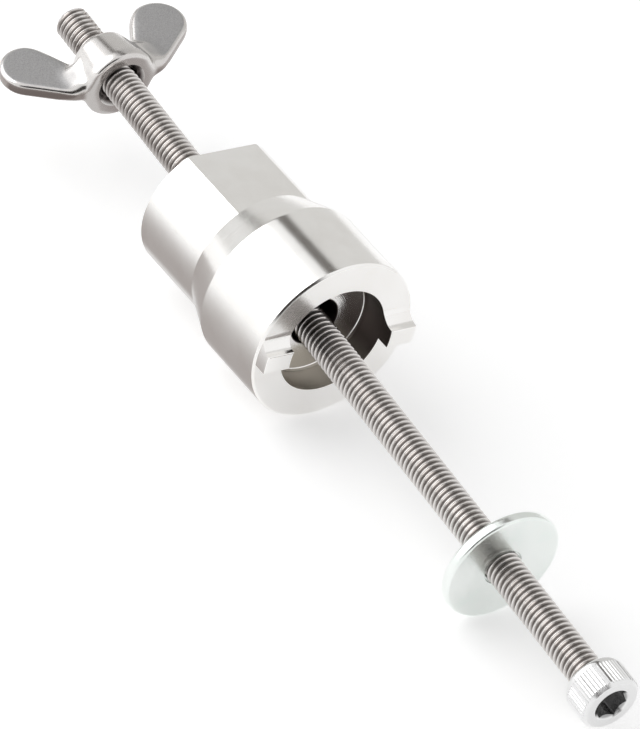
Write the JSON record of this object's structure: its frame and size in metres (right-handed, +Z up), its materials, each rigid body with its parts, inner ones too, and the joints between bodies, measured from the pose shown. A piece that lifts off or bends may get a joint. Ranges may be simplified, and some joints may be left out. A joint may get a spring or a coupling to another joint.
{
  "type": "freewheel remover",
  "caption": "Freewheel remover socket with drive lugs and wrench flats, on a long socket-head bolt with a wide washer and a wing nut.",
  "frame": {"origin": "on the socket's axis, in the plane of its front face", "axes": "+X along the socket's axis, towards the drive lugs and the bolt's head; +Z up, square to the wrench flats; +Y along the line of the two lugs"},
  "size_m": [0.1661, 0.0352, 0.03],
  "materials": {
    "plated_steel": "satin nickel-chrome plating over turned steel",
    "stainless_bolt": "rolled stainless thread, bright on its crests",
    "zinc_plate": "bright zinc plating with a faint green cast",
    "cast_stainless": "cast stainless, matte faces and polished edges"
  },
  "bodies": {
    "socket": {"remover_socket": "plated_steel"},
    "bolt": {"clamp_bolt": "stainless_bolt"},
    "washer": {"washer": "zinc_plate"},
    "nut": {"wing_nut": "cast_stainless"}
  },
  "joints": [
    {"name": "nut_spin", "type": "hinge", "parent": "socket", "child": "nut", "pos_m": [-0.06557, 0.00105, 0.00266], "axis": [0.9979, -0.0174, -0.0629], "range_deg": [-2881, 7921]},
    {"name": "bolt_travel", "type": "slide", "parent": "socket", "child": "bolt", "axis": [-0.9979, 0.0174, 0.0629], "range_m": [-0.008, 0.022]},
    {"name": "washer_slide", "type": "slide", "parent": "bolt", "child": "washer", "axis": [0.9979, -0.0174, -0.0629], "range_m": [-0.024, 0.0252]}
  ],
  "couplings": [
    {"joint": "nut_spin", "follows": "bolt_travel", "rad_per_m": 6283.2}
  ]
}
